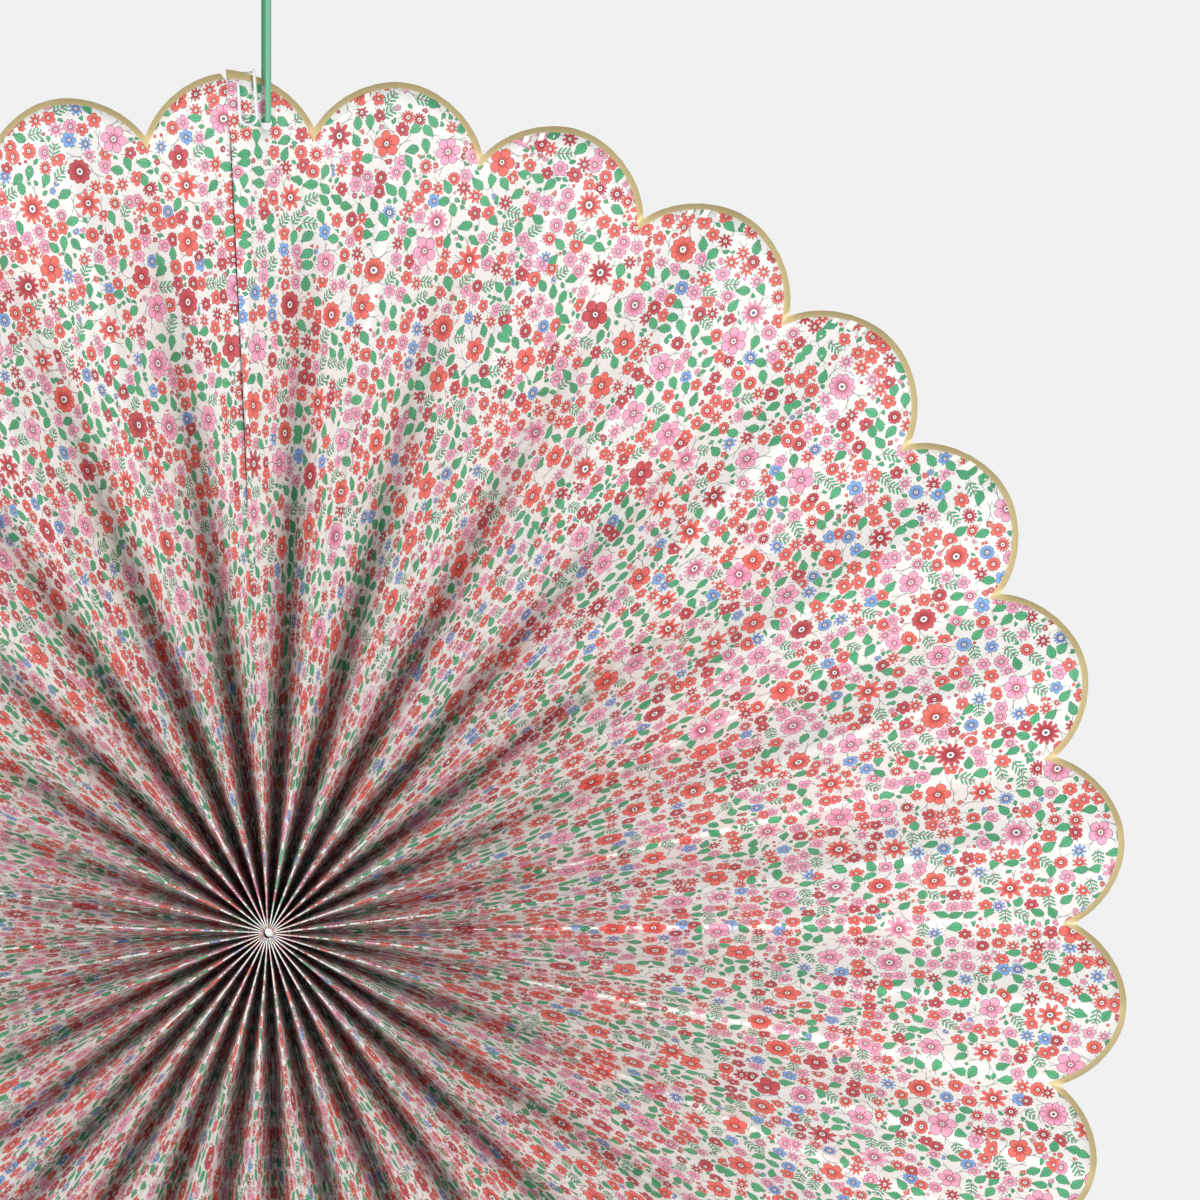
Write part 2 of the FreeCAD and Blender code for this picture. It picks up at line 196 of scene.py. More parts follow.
# The folded strip: the same folds as the solid fan, with rounded bends and softer paper.
FOLDS = 62
TIP = 258.0
SCALLOP_DEPTH = 16.0
THICKNESS = 0.12
LAYER = 0.145
HUB = (FOLDS + 1) * LAYER / (2 * math.pi)
SEAM_ANGLE = 92.84
SPREAD_SWING = 4.0
SPREAD_PHASE = 7.9
SPREAD_RIPPLE = 0.57
RIPPLE_PHASE = 172.2
SEAM_FLAT = 7.0
WIDEST_TIP_DEPTH = 4.3
LEAST_RISE = 2.0
BEND_AT_HUB = 0.13
BEND_GROWTH = 3.2
BEND_ROOM = 0.8
FLAP_AT_HUB = 0.14
FLAP_RISE = 1.2
GROOVE_START = 122
GROOVE_END = 246
GROOVE_INSET = 0.55
TAB_SINK = 1.7
TAB_BEND = 0.06
WAVE_HEIGHT = 0.45
WAVES_START = 70
CLIP_PRESS = 1.3
CLIP_PLACE = -7
CLIP_REACH = 9
CLIP_FOOT = 230
HOLE_RADIUS = 2.0
HOLE_MARGIN = 0.3
HOLE_STEPS = 24
ROWS = 58
PANEL_STEPS = (0.06, 0.16, 0.3, 0.5, 0.7, 0.84, 0.94)


def spread_wave(fold):
    """How far a fold lies from its even place round the rim, in degrees."""
    turn = 360.0 * fold / FOLDS
    swing = math.sin(math.radians(turn - SPREAD_PHASE))
    ripple = math.sin(math.radians(3 * turn - RIPPLE_PHASE))
    return SPREAD_SWING * swing + SPREAD_RIPPLE * ripple


def rim_angle(fold):
    """The angle of a fold at the rim, in degrees. Fold 0 is at the seam."""
    uneven = spread_wave(fold) - spread_wave(0)
    return SEAM_ANGLE - 360.0 * fold / FOLDS - uneven


def fold_angle(fold, radius):
    """The angle of a fold line at each radius, in radians."""
    rim = rim_angle(fold)
    slot = fold + 0.5 if fold < FOLDS else float(FOLDS)
    ahead = SEAM_ANGLE - 360.0 * (slot - FOLDS) / (FOLDS + 1) - 360.0 - rim
    outward = (radius - HUB) / (TIP - HUB)
    return np.radians(rim + ahead * HUB / radius * (1 - outward))


def bend_width(radius):
    """Half the width of a fold's rounded bend. It fills the room that there is at the hub."""
    room = BEND_ROOM * 2 * np.pi * radius / FOLDS
    return np.minimum(BEND_AT_HUB + BEND_GROWTH * (radius / TIP) ** 3, room)


def seam_flat(radius):
    """How wide the flap is that lies over the glue tab."""
    return FLAP_AT_HUB + SEAM_FLAT * (radius / TIP) ** 3


def panel_turn(panel, radius):
    """The angle between the two ends of a panel's flat part, in radians."""
    start = fold_angle(panel, radius)
    end = fold_angle(panel + 1, radius)
    half = bend_width(radius) / radius
    if panel == 0:
        start = fold_angle(FOLDS, radius) + 2 * np.pi - seam_flat(radius) / radius
        return start - half - end
    if panel == FOLDS - 1:
        return start - half - end
    return start - end - 2 * half


def across(panel, radius):
    """How wide a panel's flat part is as seen from the front."""
    return 2 * radius * np.sin(panel_turn(panel, radius) / 2)


def bends(panel, radius):
    """How much of a panel's paper lies in its rounded bends. An end panel has only one bend."""
    return bend_width(radius) * (1 if panel in (0, FOLDS - 1) else 2)


def tip_width(panel):
    """How wide the paper between two folds must be to leave a panel a little deep at its tip."""
    radius = np.array(TIP)
    flat = math.hypot(float(across(panel, radius)), WIDEST_TIP_DEPTH)
    return flat + float(bends(panel, radius))


RADII = np.concatenate([np.linspace(HUB, 20, 60), np.linspace(20.5, TIP + 6, 240)])
PANEL = max(tip_width(panel) for panel in range(1, FOLDS))
SCALLOP = (PANEL**2 + SCALLOP_DEPTH**2) / (2 * SCALLOP_DEPTH)


def rise(panel, radius):
    """How deep a panel's flat part is from front to back."""
    width = PANEL - bends(panel, radius) - (seam_flat(radius) if panel == 0 else 0)
    return np.sqrt(np.maximum(width**2 - across(panel, radius) ** 2, LEAST_RISE**2))


def depth_table():
    """The depth of every fold at every radius of the table, front to back along Y."""
    level = np.zeros((FOLDS + 1, len(RADII)))
    for panel in range(FOLDS):
        step = rise(panel, RADII)
        level[panel + 1] = level[panel] + (step if panel % 2 == 0 else -step)
    level -= np.outer(np.arange(FOLDS + 1) / FOLDS, level[-1])
    return level - (level.min(axis=0) + level.max(axis=0)) / 2


DEPTHS = depth_table()


def depth(fold, radius):
    return np.interp(radius, RADII, DEPTHS[fold])


def tilt(panel, radius):
    return np.arctan2(rise(panel, radius), across(panel, radius))


def place(radius, angle, y):
    return np.stack([radius * np.cos(angle), y, radius * np.sin(angle)], axis=-1)


def bend_point(fold, hand, share, radius):
    """A point of a fold's rounded bend: share 0 is its crest and 1 is where the panel begins."""
    half = bend_width(radius)
    beside = fold if hand > 0 else fold - 1
    lean = tilt(min(max(beside, 0), FOLDS - 1), radius)
    if 0 < fold < FOLDS:
        lean = (tilt(fold - 1, radius) + tilt(fold, radius)) / 2
    to_back = 1 if fold % 2 == 0 else -1
    aside = half * np.sin(share * lean) / np.sin(lean)
    sink = half / np.sin(lean) * (1 - np.cos(share * lean)) - half * np.tan(lean / 2)
    angle = fold_angle(fold, radius) - hand * aside / radius
    return place(radius, angle, depth(fold, radius) + to_back * sink)


def seam_gap(radius):
    """How open the seam's groove is: shut at the hub and at the rim."""
    opening = np.clip((radius - GROOVE_START) / 20, 0, 1)
    return opening * np.clip((GROOVE_END - radius) / 8, 0, 1)


def seam_point(share, radius):
    """A point of the flat that lies over the glue tab, from the strip's free edge."""
    angle = fold_angle(FOLDS, radius) + 2 * np.pi
    lift = 0.16 + 0.15 * seam_gap(radius) * (1 - share)
    inset = GROOVE_INSET * seam_gap(radius) * (1 - share)
    turn = (share * seam_flat(radius) + inset) / radius
    return place(radius, angle - turn, depth(FOLDS, radius) - lift)


def tab_point(share, radius):
    """A point of the glue tab, which sinks away behind the flap and leaves a narrow groove."""
    angle = fold_angle(FOLDS, radius)
    sink = seam_gap(radius) * (TAB_SINK * min(share / TAB_BEND, 1) - 0.4)
    return place(radius, angle - share * seam_flat(radius) / radius, depth(FOLDS, radius) + sink)


def panel_point(panel, share, radius):
    """A point of a panel's flat part, from its start at share 0 to its end at share 1."""
    if panel == 0:
        start = seam_point(1, radius)
    else:
        start = bend_point(panel, 1, 1, radius)
    end = bend_point(panel + 1, -1, 1, radius)
    return start + (end - start) * share


def columns():
    """Every column of the strip's mesh: its place along the paper, and its point's function."""
    found = []
    for share in (0, 0.33, 0.66, 1):
        found.append((0, share, lambda r, s=share: seam_point(s, r), "seam"))
    for panel in range(FOLDS):
        if panel:
            for share in (0.5, 1):
                function = lambda r, k=panel, s=share: bend_point(k, 1, s, r)
                found.append((panel, share, function, "after"))
        for share in PANEL_STEPS:
            function = lambda r, p=panel, s=share: panel_point(p, s, r)
            found.append((panel, share, function, "panel"))
        for share in (1, 0.5, 0):
            if panel == FOLDS - 1 and share == 0:
                continue
            function = lambda r, k=panel + 1, s=share: bend_point(k, -1, s, r)
            found.append((panel + 1, share, function, "before"))
    for share in (0, TAB_BEND, 0.5, 1):
        found.append((FOLDS, share, lambda r, s=share: tab_point(s, r), "tab"))
    return found


def paper_place(column, radius):
    """How far along the paper strip a column lies."""
    index, share, _, kind = column
    half = bend_width(radius)
    if kind == "seam":
        return share * seam_flat(radius)
    if kind == "tab":
        return index * PANEL + share * seam_flat(radius)
    if kind == "after":
        return index * PANEL + share * half
    if kind == "before":
        return index * PANEL - share * half
    start = seam_flat(radius) if index == 0 else index * PANEL + half
    end = (index + 1) * PANEL - half
    return start + (end - start) * share


def rim_radius(column):
    """The radius of the paper's scalloped edge at a column."""
    along = paper_place(column, np.array(CUSP_MEAN))
    if column[3] == "tab":
        return TIP - 2.5 - 1.5 * column[1]
    inward = along % (2 * PANEL)
    inward = min(inward, 2 * PANEL - inward)
    edge = TIP - SCALLOP + math.sqrt(SCALLOP**2 - min(inward, PANEL) ** 2)
    if column[3] == "seam":
        edge += FLAP_RISE * (1 - column[1])
    return edge


CUSP_MEAN = TIP - SCALLOP_DEPTH / 2


def soft_paper(along, radius):
    """The small waves of thin paper, growing towards the free rim. None lie at the seam."""
    amount = WAVE_HEIGHT * np.clip((radius - WAVES_START) / 160, 0, 1) ** 1.5
    from_seam = np.minimum(along, FOLDS * PANEL - along)
    amount = amount * np.clip((from_seam - PANEL) / 20, 0, 1)
    wave = np.sin(along / 7.3 + radius / 23) + np.sin(along / 19.7 - radius / 31 + 1.3)
    return amount * (wave + np.sin(radius / 17 + along / 43)) / 2


def pressed(x, z):
    """How far the paper clip at the seam presses the paper back."""
    beside = np.exp(-(((x - CLIP_PLACE) / CLIP_REACH) ** 2))
    return CLIP_PRESS * beside * np.clip((z - CLIP_FOOT) / 12, 0, 1)


def fan_grid():
    """The middle of the paper: an array of points, and the paper's own flat coordinates."""
    outward = np.linspace(0, 1, ROWS)
    outward = 0.55 * outward + 0.45 * outward**2
    points, flats = [], []
    for column in columns():
        radius = HUB + (rim_radius(column) - HUB) * outward
        along = paper_place(column, radius)
        middle = column[2](radius)
        middle[:, 1] += soft_paper(along, radius) + pressed(middle[:, 0], middle[:, 2])
        points.append(middle)
        flats.append(np.stack([along, radius], axis=-1))
    return np.array(points), np.array(flats)


def hole_place():
    """Where the ribbon's hole lies on the flat paper: along the strip, and its radius."""
    radius = math.hypot(HOLE.x, HOLE.z)
    start, end = (panel_point(0, share, np.array(radius)) for share in (0, 1))
    share = (HOLE.x - start[0]) / (end[0] - start[0])
    begins, ends = first_panel(radius)
    return begins + (ends - begins) * share, radius


def first_panel(radius):
    """Where the first panel begins and ends along the flat paper."""
    return seam_flat(radius), PANEL - bend_width(radius)


def sheet_point(along, radius):
    """A point in the middle of the first panel's paper."""
    begins, ends = first_panel(radius)
    point = panel_point(0, (along - begins) / (ends - begins), np.array(radius))
    point[1] += soft_paper(along, radius) + pressed(point[0], point[2])
    return point


def hole_block(flats):
    """The columns and rows of the mesh between which the ribbon's hole lies."""
    centre = np.array(hole_place())
    cut = []
    for i in range(2 * len(flats) // FOLDS):
        for j in range(ROWS - 1):
            cell = flats[i : i + 2, j : j + 2].reshape(4, 2)
            nearest = np.clip(centre, cell.min(axis=0), cell.max(axis=0))
            if np.linalg.norm(nearest - centre) < HOLE_RADIUS + HOLE_MARGIN:
                cut.append((i, j))
    across_cells, out_cells = zip(*cut)
    return min(across_cells), max(across_cells) + 1, min(out_cells), max(out_cells) + 1


class Sheet:
    """A thin sheet of paper, made of cells with a printed front and a plain back."""

    def __init__(self, facing):
        self.bm = bmesh.new()
        self.paper = self.bm.loops.layers.uv.new("paper")
        self.facing = facing
        self.sides = ({}, {})
        self.flats = {}

    def add_point(self, key, middle, normal, flat):
        for side, reach in zip(self.sides, (THICKNESS / 2, -THICKNESS / 2)):
            side[key] = self.bm.verts.new((middle + normal * reach) * MM)
        self.flats[key] = flat

    def add_face(self, corners, material, smooth):
        face = self.bm.faces.new([self.sides[side][key] for side, key in corners])
        face.material_index = material
        face.smooth = smooth
        for loop, (_, key) in zip(face.loops, corners):
            loop[self.paper].uv = self.flats[key]

    def add_cell(self, *keys):
        turned_keys = keys if self.facing > 0 else keys[::-1]
        self.add_face([(0, key) for key in turned_keys], 0, True)
        self.add_face([(1, key) for key in reversed(turned_keys)], 1, True)

    def add_edge(self, line):
        for first, second in zip(line, line[1:]):
            self.add_face([(0, first), (0, second), (1, second), (1, first)], 1, False)

    def turn_about(self, key, centre):
        flat = np.array(self.flats[key]) - centre
        return math.atan2(flat[1], flat[0])


def add_hole(sheet, block, normal):
    """The paper between the ribbon's round hole and the cells that are left out for it."""
    first, last, low, high = block
    centre = np.array(hole_place())
    rim = [("hole", step) for step in range(HOLE_STEPS)]
    for key in rim:
        turn = 2 * math.pi * key[1] / HOLE_STEPS
        flat = centre + HOLE_RADIUS * np.array([math.cos(turn), math.sin(turn)])
        sheet.add_point(key, sheet_point(*flat), normal, flat)
    frame_keys = [(i, j) for i in range(first, last + 1) for j in (low, high)]
    frame_keys += [(i, j) for i in (first, last) for j in range(low + 1, high)]
    outer = sorted(frame_keys, key=lambda key: sheet.turn_about(key, centre))
    inner = sorted(rim, key=lambda key: sheet.turn_about(key, centre))
    ends = [outer[-1], inner[-1]]
    for key in sorted(outer + inner, key=lambda key: sheet.turn_about(key, centre)):
        sheet.add_cell(ends[0], key, ends[1])
        ends[1 if key in rim else 0] = key
    sheet.add_edge(inner + inner[:1])


def fan_mesh():
    points, flats = fan_grid()
    normal = np.cross(np.gradient(points, axis=0), np.gradient(points, axis=1))
    normal /= np.linalg.norm(normal, axis=-1, keepdims=True)
    facing = -np.sign(normal[len(points) // 3, -2, 1])
    normal *= facing
    sheet = Sheet(facing)
    wide, tall = len(points), ROWS
    for i in range(wide):
        for j in range(tall):
            sheet.add_point((i, j), points[i, j], normal[i, j], flats[i, j])
    first, last, low, high = block = hole_block(flats)
    for i in range(wide - 1):
        for j in range(tall - 1):
            if not (first <= i < last and low <= j < high):
                sheet.add_cell((i, j), (i + 1, j), (i + 1, j + 1), (i, j + 1))
    add_hole(sheet, block, normal[first:last, low:high].mean(axis=(0, 1)))
    sheet.add_edge([(i, 0) for i in range(wide)])
    sheet.add_edge([(i, tall - 1) for i in range(wide)])
    sheet.add_edge([(0, j) for j in range(tall)])
    sheet.add_edge([(wide - 1, j) for j in range(tall)])
    bm = sheet.bm
    for vertex in [v for v in bm.verts if not v.link_faces]:
        bm.verts.remove(vertex)
    bmesh.ops.recalc_face_normals(bm, faces=[f for f in bm.faces if not f.smooth])
    mesh = bpy.data.meshes.new("pleated_fan_visual")
    bm.to_mesh(mesh)
    bm.free()
    return mesh


fan = link("pleated_fan_visual", fan_mesh())
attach(fan, "root")
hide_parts("pleated_fan")


class Nodes:
    """Short calls that add nodes to a tree and join them."""

    def __init__(self, tree):
        self.tree = tree

    def add(self, kind, **settings):
        node = self.tree.nodes.new(kind)
        for name, value in settings.items():
            setattr(node, name, value)
        return node

    def feed(self, socket, value):
        if isinstance(value, bpy.types.NodeSocket):
            self.tree.links.new(value, socket)
        elif value is not None:
            socket.default_value = value

    def math(self, operation, a, b=None, c=None):
        node = self.add("ShaderNodeMath", operation=operation)
        for socket, value in zip(node.inputs, (a, b, c)):
            self.feed(socket, value)
        return node.outputs[0]

    def vector(self, operation, a, b=None):
        node = self.add("ShaderNodeVectorMath", operation=operation)
        self.feed(node.inputs[0], a)
        self.feed(node.inputs[1], b)
        return node.outputs["Value" if operation in ("LENGTH", "DOT_PRODUCT") else "Vector"]

    def mix(self, share, a, b, blend="MIX"):
        node = self.add("ShaderNodeMix", data_type="RGBA", blend_type=blend)
        self.feed(node.inputs[0], share)
        self.feed(node.inputs[6], a)
        self.feed(node.inputs[7], b)
        return node.outputs[2]

    def below(self, value, limit):
        return self.math("LESS_THAN", value, limit)

    def between(self, value, low, high):
        above = self.math("GREATER_THAN", value, low)
        return self.math("MULTIPLY", above, self.below(value, high))

    def both(self, a, b):
        return self.math("MULTIPLY", a, b)

    def choose(self, share, a, b):
        node = self.add("ShaderNodeMix", data_type="FLOAT")
        self.feed(node.inputs[0], share)
        self.feed(node.inputs[2], a)
        self.feed(node.inputs[3], b)
        return node.outputs[0]

    def axes(self, vector):
        node = self.add("ShaderNodeSeparateXYZ")
        self.feed(node.inputs[0], vector)
        return node.outputs

    def split(self, colour):
        node = self.add("ShaderNodeSeparateColor")
        self.feed(node.inputs[0], colour)
        return node.outputs

    def ramp(self, value, stops):
        node = self.add("ShaderNodeValToRGB")
        node.color_ramp.interpolation = "CONSTANT"
        elements = node.color_ramp.elements
        while len(elements) < len(stops):
            elements.new(1.0)
        for element, (position, colour) in zip(elements, stops):
            element.position = position
            element.color = colour
        self.feed(node.inputs[0], value)
        return node.outputs[0]

    def smooth(self, value, low, high):
        node = self.add("ShaderNodeMapRange", interpolation_type="SMOOTHSTEP")
        self.feed(node.inputs["Value"], value)
        self.feed(node.inputs["From Min"], low)
        self.feed(node.inputs["From Max"], high)
        return node.outputs["Result"]


def tint(red, green, blue):
    """A display colour from 0 to 255, as the linear colour that a node takes."""
    linear = []
    for part in (red, green, blue):
        part /= 255
        linear.append(part / 12.92 if part < 0.04045 else ((part + 0.055) / 1.055) ** 2.4)
    return (*linear, 1.0)


GROUND = tint(244, 242, 238)
OUTLINE = tint(92, 58, 70)
CREAM = tint(250, 246, 234)
CORAL = tint(246, 120, 108)
RED = tint(210, 90, 96)
PINK = tint(252, 178, 206)
BLUE = tint(132, 182, 240)
GREEN = tint(98, 192, 138)
DEEP_GREEN = tint(42, 104, 76)
STEM = tint(70, 78, 66)
HEART = tint(120, 104, 150)
THROAT = tint(224, 172, 180)

# The layers of motifs: the cell each is scattered in, a shift, and its motifs' half size.
LARGE = (17.0, 1.9, 4.6)
MIDDLE = (4.85, 5.3, 2.55)
SMALL = (2.2, 3.1, 1.25)
LARGE_SHARE = 0.6
MIDDLE_SHARE = 1.0
ROOM = 0.1
OUTLINE_WIDTH = 0.2
FOIL_WIDTH = 1.9

# The kinds of motif in the middle and the small layer, each up to this random value.
MIDDLE_LEAVES = 0.3
MIDDLE_SPRIGS = 0.38
SMALL_LEAVES = 0.45
SMALL_FLOWERS = 0.8

# Kinds of flower: petals / 16, how deep the notches are, and half of how pointed the petals are.
FLOWER_KINDS = (
    (0.0, (5 / 16, 0.4, 0.26, 1)),
    (0.3, (10 / 16, 0.16, 0.4, 1)),
    (0.5, (8 / 16, 0.5, 0.7, 1)),
    (0.72, (6 / 16, 0.36, 0.26, 1)),
    (0.9, (12 / 16, 0.42, 0.5, 1)),
)
FLOWER_COLOURS = (
    (0.0, CORAL),
    (0.3, PINK),
    (0.48, RED),
    (0.66, BLUE),
    (0.74, CORAL),
    (0.88, PINK),
)


class Scatter:
    """Motifs scattered over the paper, one to a cell, each with its own random values."""

    def __init__(self, n, paper, layer):
        cell, shift, self.half = layer
        scaled = n.vector("MULTIPLY", paper, (1 / cell, 1 / cell, 1))
        moved = n.vector("ADD", scaled, (shift, shift * 1.7, 0))
        cells = n.add("ShaderNodeTexVoronoi", voronoi_dimensions="2D", feature="F1")
        cells.inputs["Scale"].default_value = 1.0
        cells.inputs["Randomness"].default_value = 0.68
        n.feed(cells.inputs["Vector"], moved)
        offset = n.vector("SUBTRACT", moved, cells.outputs["Position"])
        self.offset = n.vector("MULTIPLY", offset, (cell, cell, 0))
        self.distance = n.vector("LENGTH", self.offset)
        self.centre = n.vector("SUBTRACT", paper, self.offset)
        self.place = n.vector("DIVIDE", self.offset, (self.half, self.half, 1))
        self.random = cells.outputs["Color"]
        self.kind = n.split(self.random)[0]


def clear_of(n, scatter, layer, share):
    """Whether a layer's motifs stand clear of the motifs of a layer above it."""
    above = Scatter(n, scatter.centre, layer)
    room = 0.9 * above.half + 0.5 * scatter.half
    blocked = n.both(n.below(above.kind, share), n.below(above.distance, room))
    return n.math("SUBTRACT", 1.0, blocked)


def flower(n, place, random, half, shade):
    """A flower's mask and colour, from a place measured in half sizes."""
    radius = n.vector("LENGTH", place)
    x, y, _ = n.axes(place)
    kind = n.math("FRACT", n.math("MULTIPLY", random[1], 5.0))
    petals, notch, pointed = n.split(n.ramp(kind, FLOWER_KINDS))
    turn = n.math("MULTIPLY", n.math("ARCTAN2", y, x), n.math("MULTIPLY", petals, 8.0))
    wave = n.math("ABSOLUTE", n.math("COSINE", turn))
    lobe = n.math("POWER", wave, n.math("MULTIPLY", pointed, 2.0))
    edge = n.math("MULTIPLY_ADD", n.math("SUBTRACT", lobe, 1.0), notch, 1.0)
    edge = n.both(edge, n.math("MULTIPLY_ADD", random[1], 0.2, 0.82))
    inside = n.both(n.math("SUBTRACT", edge, radius), half)
    centre = n.math("MULTIPLY_ADD", petals, 0.2, 0.12)
    heart = n.math("DIVIDE", radius, centre)
    colour = n.ramp(shade, FLOWER_COLOURS)
    colour = n.mix(n.smooth(heart, 2.6, 1.1), colour, THROAT, "MULTIPLY")
    seam = n.both(n.below(wave, 0.2), n.math("GREATER_THAN", heart, 1.2))
    colour = n.mix(n.both(seam, 0.65), colour, OUTLINE)
    vein = n.both(n.math("GREATER_THAN", wave, 0.975), n.between(heart, 1.2, 2.5))
    colour = n.mix(n.both(vein, 0.5), colour, OUTLINE)
    colour = n.mix(n.both(n.below(inside, OUTLINE_WIDTH), 0.8), colour, OUTLINE)
    colour = n.mix(n.below(heart, 1.0), colour, CREAM)
    colour = n.mix(n.both(n.between(heart, 0.9, 1.2), 0.7), colour, OUTLINE)
    colour = n.mix(n.below(heart, 0.45), colour, HEART)
    return n.math("GREATER_THAN", inside, 0.0), colour


def leaf(n, place, random, half):
    """A toothed, veined leaf's mask and colour, from a place measured in half sizes."""
    x, across_leaf, _ = n.axes(place)
    y = n.math("ABSOLUTE", across_leaf)
    belly = n.math("SUBTRACT", 1.0, n.both(x, x))
    belly = n.both(belly, n.math("MULTIPLY_ADD", x, -0.3, 0.6))
    slanted = n.math("MULTIPLY_ADD", y, -0.8, x)
    tooth = n.math("FRACT", n.math("MULTIPLY", slanted, 3.6))
    edge = n.both(belly, n.math("MULTIPLY_ADD", tooth, -0.3, 1.1))
    inside = n.both(n.math("SUBTRACT", edge, y), half)
    colour = n.mix(n.both(random[2], 0.3), GREEN, DEEP_GREEN)
    veins = n.math("MAXIMUM", n.below(n.both(y, half), 0.1), n.below(tooth, 0.16))
    colour = n.mix(n.both(veins, 0.5), colour, DEEP_GREEN)
    colour = n.mix(n.both(n.below(inside, OUTLINE_WIDTH), 0.85), colour, DEEP_GREEN)
    return n.math("GREATER_THAN", inside, 0.0), colour


def sprig(n, place):
    """A thin stem with small paired leaflets."""
    x, across_sprig, _ = n.axes(place)
    y = n.math("ABSOLUTE", across_sprig)
    on_stem = n.both(n.below(y, 0.045), n.below(n.math("ABSOLUTE", x), 1.1))
    slanted = n.math("MULTIPLY_ADD", y, -0.7, x)
    step = n.math("SUBTRACT", n.math("FRACT", n.math("MULTIPLY", slanted, 1.9)), 0.5)
    step = n.math("DIVIDE", step, 0.32)
    reach = n.math("DIVIDE", n.math("SUBTRACT", y, 0.42), 0.33)
    oval = n.math("ADD", n.both(step, step), n.both(reach, reach))
    leaflet = n.both(n.below(oval, 1.0), n.below(n.math("ABSOLUTE", slanted), 1.0))
    colour = n.mix(n.below(oval, 0.55), DEEP_GREEN, GREEN)
    return n.math("MAXIMUM", on_stem, leaflet), colour


def turned(n, place, kind):
    """A place turned about its motif's centre by the motif's own random angle."""
    turn = n.add("ShaderNodeVectorRotate", rotation_type="Z_AXIS")
    n.feed(turn.inputs["Vector"], place)
    n.feed(turn.inputs["Angle"], n.math("MULTIPLY", kind, 17.0))
    return turn.outputs[0]


def stems(n, middle):
    """Thin forked stems that reach out from under the middle motifs."""
    x, across_stem, _ = n.axes(turned(n, middle.offset, middle.kind))
    bend = n.math("MULTIPLY", n.both(x, x), 0.11)
    apart = n.math("ABSOLUTE", n.math("SUBTRACT", n.math("ABSOLUTE", across_stem), bend))
    return n.mix(n.both(n.below(apart, 0.1), 0.8), GROUND, STEM)


def print_group():
    """The printed pattern: motifs of three sizes, each with some cream ground round it."""
    group = bpy.data.node_groups.new("ditsy_print", "ShaderNodeTree")
    group.interface.new_socket("Paper", in_out="INPUT", socket_type="NodeSocketVector")
    group.interface.new_socket("Colour", in_out="OUTPUT", socket_type="NodeSocketColor")
    n = Nodes(group)
    paper = n.add("NodeGroupInput").outputs["Paper"]
    large, middle, small = (Scatter(n, paper, layer) for layer in (LARGE, MIDDLE, SMALL))

    in_large = n.both(n.below(large.kind, LARGE_SHARE), n.below(large.distance, large.half + ROOM))
    has_middle = n.both(n.below(middle.kind, MIDDLE_SHARE), clear_of(n, middle, LARGE, LARGE_SHARE))
    in_middle = n.both(has_middle, n.below(middle.distance, middle.half + ROOM))
    has_small = clear_of(n, small, MIDDLE, MIDDLE_SHARE)

    # One formula draws a kind of motif for all three layers.
    place = n.mix(in_large, n.mix(in_middle, small.place, middle.place), large.place)
    random = n.split(n.mix(in_large, n.mix(in_middle, small.random, middle.random), large.random))
    half = n.choose(in_large, n.choose(in_middle, small.half, middle.half), large.half)
    place = turned(n, place, random[0])

    below_large = n.math("SUBTRACT", 1.0, in_large)
    small_leaf = n.both(has_small, n.below(small.kind, SMALL_LEAVES))
    leafy = n.choose(in_middle, small_leaf, n.below(middle.kind, MIDDLE_LEAVES))
    sprigs = n.both(in_middle, n.between(middle.kind, MIDDLE_LEAVES, MIDDLE_SPRIGS))
    small_flower = n.both(has_small, n.between(small.kind, SMALL_LEAVES, SMALL_FLOWERS))
    middle_flower = n.math("GREATER_THAN", middle.kind, MIDDLE_SPRIGS)
    flowery = n.choose(in_middle, small_flower, middle_flower)
    berries = n.math("GREATER_THAN", small.kind, SMALL_FLOWERS)
    berries = n.both(n.both(has_small, below_large), berries)
    berries = n.both(berries, n.math("SUBTRACT", 1.0, in_middle))

    colour = stems(n, middle)
    mask, green = leaf(n, place, random, half)
    colour = n.mix(n.both(n.both(mask, leafy), below_large), colour, green)
    mask, green = sprig(n, place)
    colour = n.mix(n.both(n.both(mask, sprigs), below_large), colour, green)
    shade = n.both(random[2], n.math("MULTIPLY_ADD", in_large, -0.45, 1.0))
    mask, petal = flower(n, place, random, half, shade)
    colour = n.mix(n.both(mask, n.math("MAXIMUM", flowery, in_large)), colour, petal)
    berry = n.ramp(random[2], ((0, CORAL), (0.4, PINK), (0.7, RED)))
    ring = n.math("GREATER_THAN", small.distance, 0.42)
    berry = n.mix(n.both(ring, 0.65), berry, OUTLINE)
    colour = n.mix(n.both(berries, n.below(small.distance, 0.57)), colour, berry)
    n.feed(n.add("NodeGroupOutput").inputs["Colour"], colour)
    return group


def new_material(name):
    material = bpy.data.materials.new(name)
    material.use_nodes = True
    material.node_tree.nodes.clear()
    n = Nodes(material.node_tree)
    shader = n.add("ShaderNodeBsdfPrincipled")
    output = n.add("ShaderNodeOutputMaterial")
    material.node_tree.links.new(shader.outputs[0], output.inputs["Surface"])
    return material, n, shader


